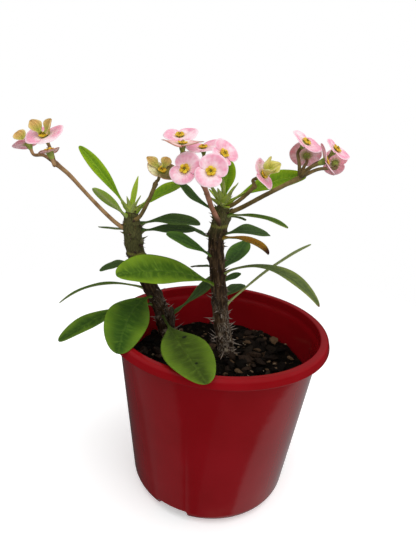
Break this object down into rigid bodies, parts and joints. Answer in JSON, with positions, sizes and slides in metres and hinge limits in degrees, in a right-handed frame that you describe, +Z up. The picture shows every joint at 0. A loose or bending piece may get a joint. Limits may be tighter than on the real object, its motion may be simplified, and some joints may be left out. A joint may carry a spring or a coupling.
{
  "type": "potted euphorbia",
  "caption": "Potted crown-of-thorns plant: spiny woody stems with spoon-shaped leaves and pale pink blooms on forked stalks, in bark soil in a round red plastic nursery pot.",
  "frame": {"origin": "middle of the pot's flat base, on the surface it stands on", "axes": "+Z up along the pot; -Y is the side that the picture was taken from; +X is to its right"},
  "size_m": [0.1969, 0.1455, 0.234],
  "materials": {
    "pot": "smooth semi-gloss red moulded plastic",
    "soil": "dark composted bark with pale chips, damp and rough",
    "bark": "grey-brown ridged bark, greener towards the tips, with hard grey spines",
    "leaf": "smooth mid-green leaf with a paler rib, soft sheen",
    "leaf_dark": "smooth dark green leaf, soft sheen",
    "leaf_bright": "young yellow-green leaf, soft sheen",
    "leaf_yellow": "dying leaf, yellow with a curled brown tip",
    "stalk": "smooth olive to reddish-brown flower stalk with green cups and yellow glands",
    "bract_pink": "matt pale pink bract, deeper pink towards the cup and rim",
    "bract_aged": "matt cream to tan bract of an old or unopened bloom"
  },
  "bodies": {
    "root": {"bloom_aged": "bract_aged", "bloom_centre_back": "bract_pink", "bloom_centre_flat": "bract_pink", "bloom_centre_front": "bract_pink", "bloom_centre_left": "bract_pink", "bloom_centre_right": "bract_pink", "bloom_centre_top": "bract_pink", "bloom_left_outer": "bract_pink", "bloom_left_tip": "bract_pink", "bloom_left_young": "bract_aged", "bloom_right_away": "bract_pink", "bloom_right_outer": "bract_pink", "bloom_right_outer_away": "bract_pink", "bloom_right_side": "bract_pink", "bloom_right_single": "bract_pink", "bloom_right_upper": "bract_pink", "leaf_left_arched_lower": "leaf_dark", "leaf_left_arched_upper": "leaf_dark", "leaf_left_back": "leaf_dark", "leaf_left_folded": "leaf", "leaf_left_inward": "leaf_bright", "leaf_left_long": "leaf", "leaf_left_low_front": "leaf", "leaf_left_low_outer": "leaf", "leaf_left_spotted": "leaf", "leaf_left_thin": "leaf", "leaf_left_upright": "leaf_bright", "leaf_main_back_low": "leaf_dark", "leaf_main_broad": "leaf", "leaf_main_crown_back": "leaf_bright", "leaf_main_crown_left": "leaf_dark", "leaf_main_crown_right": "leaf_bright", "leaf_main_left_dark": "leaf_dark", "leaf_main_left_mid": "leaf", "leaf_main_left_thin": "leaf_dark", "leaf_main_right_arched": "leaf", "leaf_main_right_back": "leaf_dark", "leaf_main_right_broad": "leaf_dark", "leaf_main_right_long": "leaf", "leaf_main_right_narrow": "leaf", "leaf_main_right_short": "leaf_dark", "leaf_main_right_small": "leaf_dark", "leaf_main_yellowed": "leaf_yellow", "leaf_shoot": "leaf_dark", "pot": "pot", "soil": "soil", "stalk_centre": "stalk", "stalk_left_long": "stalk", "stalk_left_short": "stalk", "stalk_right_long": "stalk", "stalk_right_short": "stalk", "stem_left": "bark", "stem_main": "bark", "tuft_left": "leaf_bright", "tuft_main": "leaf_bright"}
  },
  "joints": []
}
